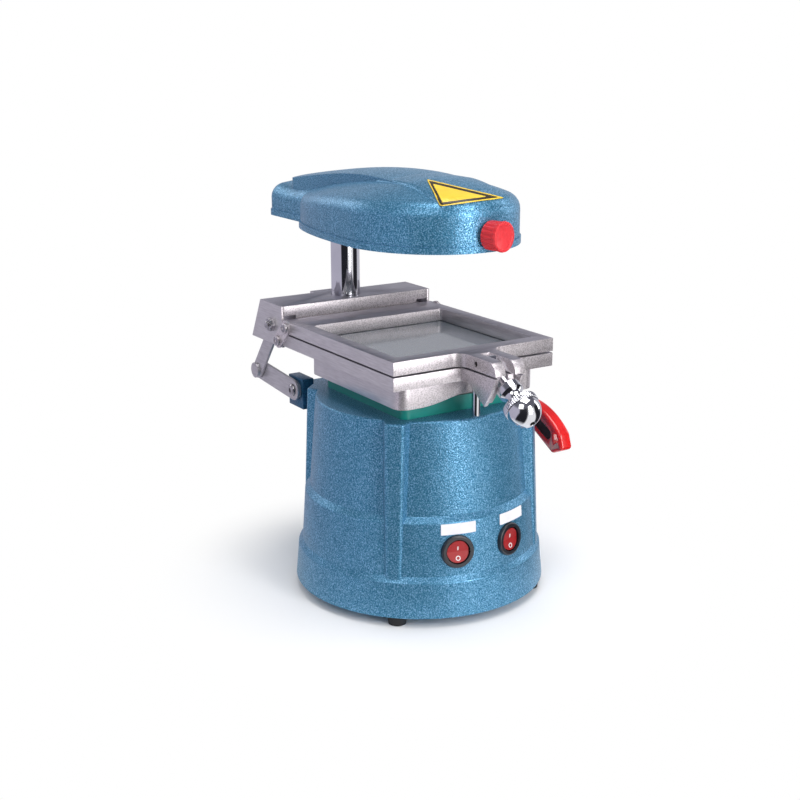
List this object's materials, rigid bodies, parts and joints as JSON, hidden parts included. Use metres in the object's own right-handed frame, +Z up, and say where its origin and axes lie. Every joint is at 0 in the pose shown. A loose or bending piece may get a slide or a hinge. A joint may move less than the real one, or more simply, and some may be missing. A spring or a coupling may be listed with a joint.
{
  "type": "bench-top vacuum forming machine",
  "caption": "Bench-top vacuum former: round cast base with suction platform, lever-lifted sheet clamp on a chrome column, and a swinging heater head.",
  "frame": {"origin": "On the table, on the axis of the round base, midway between the four rubber feet.", "axes": "+Z up. +Y to the rear, where the column stands. +X to the right as seen from the front, the side with the hand lever."},
  "size_m": [0.2149, 0.3304, 0.325],
  "materials": {
    "blue_hammertone": "blue hammer-finish enamel with fine bright speckle",
    "plain_steel": "bare turned and milled steel",
    "cast_aluminium": "sanded casting with milled top faces",
    "chrome_plate": "bright chrome plate",
    "black_rubber": "matt black rubber",
    "teal_rubber": "smooth teal rubber",
    "black_plastic": "semi-gloss black plastic",
    "red_plastic": "glossy red plastic",
    "clear_sheet": "glossy translucent grey-blue sheet",
    "element_steel": "dark oxidised heating rod"
  },
  "bodies": {
    "base": {"base_housing": "blue_hammertone", "bottom_plate": "plain_steel", "foot_front_left": "black_rubber", "foot_front_right": "black_rubber", "foot_back_left": "black_rubber", "foot_back_right": "black_rubber", "switch_bezel_left": "black_plastic", "switch_bezel_right": "black_plastic", "power_inlet": "black_plastic", "gasket": "teal_rubber", "platform": "cast_aluminium", "column": "chrome_plate", "stop_pin": "plain_steel", "pivot_block_left": "blue_hammertone", "pivot_block_right": "blue_hammertone", "pivot_washers": "plain_steel", "pivot_bolt": "plain_steel"},
    "carriage": {"lower_frame": "cast_aluminium", "collar": "cast_aluminium", "carriage_block": "cast_aluminium", "cheek_left": "cast_aluminium", "cheek_right": "cast_aluminium", "carriage_bolt_left": "plain_steel", "carriage_bolt_right": "plain_steel", "ear_link_left": "cast_aluminium", "ear_link_right": "cast_aluminium", "sheet": "clear_sheet"},
    "link_upper_left": {"link_upper_left": "plain_steel"},
    "link_upper_right": {"link_upper_right": "plain_steel"},
    "link_lower_left": {"link_lower_left": "plain_steel"},
    "lever": {"link_lower_right": "plain_steel", "lever_shaft": "plain_steel", "lever_arm": "plain_steel", "red_grip": "red_plastic"},
    "clamp_frame": {"upper_frame": "cast_aluminium", "latch_pin": "plain_steel"},
    "swing_bolt": {"swing_bolt": "chrome_plate"},
    "ball_knob": {"ball_knob": "chrome_plate"},
    "heater_head": {"heater_housing": "blue_hammertone", "heater_hub": "cast_aluminium", "reflector": "plain_steel", "heating_element": "element_steel", "heater_knob": "red_plastic"},
    "rocker_left": {"rocker_left": "red_plastic"},
    "rocker_right": {"rocker_right": "red_plastic"}
  },
  "joints": [
    {"name": "carriage_lift", "type": "slide", "parent": "base", "child": "carriage", "axis": [0, 0, 1], "range_m": [0, 0.05]},
    {"name": "lever_hinge", "type": "hinge", "parent": "base", "child": "lever", "pos_m": [0, 0.087, 0.146], "axis": [1, 0, 0], "range_deg": [0, 44.4]},
    {"name": "link_lower_left_hinge", "type": "hinge", "parent": "base", "child": "link_lower_left", "pos_m": [0, 0.087, 0.146], "axis": [1, 0, 0], "range_deg": [0, 44.4]},
    {"name": "link_upper_left_hinge", "type": "hinge", "parent": "carriage", "child": "link_upper_left", "pos_m": [0, 0.11, 0.197], "axis": [1, 0, 0], "range_deg": [-22, 0]},
    {"name": "link_upper_right_hinge", "type": "hinge", "parent": "carriage", "child": "link_upper_right", "pos_m": [0, 0.11, 0.197], "axis": [1, 0, 0], "range_deg": [-22, 0]},
    {"name": "clamp_open", "type": "hinge", "parent": "carriage", "child": "clamp_frame", "pos_m": [0, 0.084, 0.1987], "axis": [1, 0, 0], "range_deg": [-18, 0]},
    {"name": "latch_swing", "type": "hinge", "parent": "clamp_frame", "child": "swing_bolt", "pos_m": [0, -0.093, 0.1985], "axis": [1, 0, 0], "range_deg": [-40, 0]},
    {"name": "knob_turn", "type": "hinge", "parent": "swing_bolt", "child": "ball_knob", "pos_m": [0, -0.093, 0.1985], "axis": [0, -0.8329, -0.5534], "continuous": true},
    {"name": "heater_swing", "type": "hinge", "parent": "base", "child": "heater_head", "pos_m": [0, 0.113, 0.276], "axis": [0, 0, 1], "range_deg": [0, 100]},
    {"name": "rocker_left_tilt", "type": "hinge", "parent": "base", "child": "rocker_left", "pos_m": [-0.02414, -0.08885, 0.057], "axis": [0.965, -0.2622, 0], "range_deg": [-16, 0]},
    {"name": "rocker_right_tilt", "type": "hinge", "parent": "base", "child": "rocker_right", "pos_m": [0.02274, -0.08921, 0.057], "axis": [0.969, 0.247, 0], "range_deg": [-16, 0]}
  ],
  "couplings": [
    {"joint": "lever_hinge", "follows": "carriage_lift", "rad_per_m": 15.467},
    {"joint": "link_lower_left_hinge", "follows": "carriage_lift", "rad_per_m": 15.467},
    {"joint": "link_upper_left_hinge", "follows": "carriage_lift", "rad_per_m": -7.638},
    {"joint": "link_upper_right_hinge", "follows": "carriage_lift", "rad_per_m": -7.638}
  ]
}
